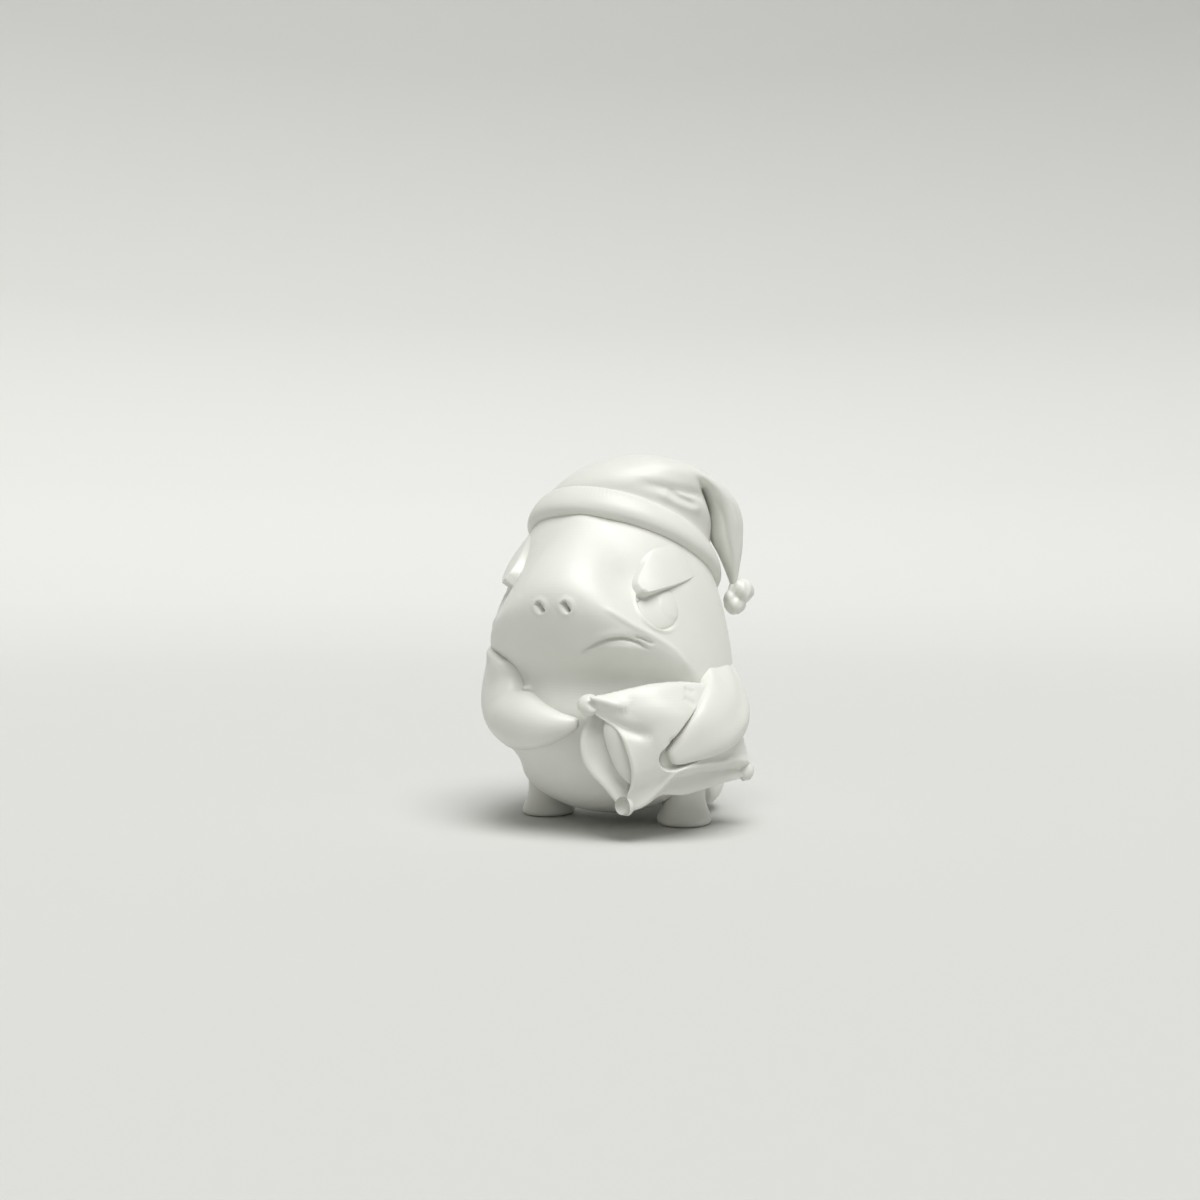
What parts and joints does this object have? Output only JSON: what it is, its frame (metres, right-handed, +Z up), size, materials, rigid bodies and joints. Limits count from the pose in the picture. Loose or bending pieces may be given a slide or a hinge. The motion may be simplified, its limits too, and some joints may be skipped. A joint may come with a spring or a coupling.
{
  "type": "shark figurine",
  "caption": "Stout standing shark figurine in a drooping nightcap, frowning, with a cased pillow tucked under one flipper; a small shelf ornament or game piece.",
  "frame": {"origin": "centre of the overall box in plan, on the floor under the soles", "axes": "+Z up, -Y the way the shark faces, +X the shark's own left"},
  "size_m": [0.0286, 0.0336, 0.039],
  "materials": {
    "resin": "unpainted light grey cured resin, satin, with faint layer lines"
  },
  "bodies": {
    "root": {"body": "resin", "left_eye": "resin", "right_eye": "resin", "left_eyelid": "resin", "right_eyelid": "resin", "left_arm": "resin", "right_arm": "resin", "left_foot": "resin", "right_foot": "resin", "tail": "resin", "dorsal_fin": "resin", "cap_cuff": "resin", "cap_crown": "resin", "cap_pompom": "resin", "pillowcase": "resin", "pillow": "resin"}
  },
  "joints": []
}
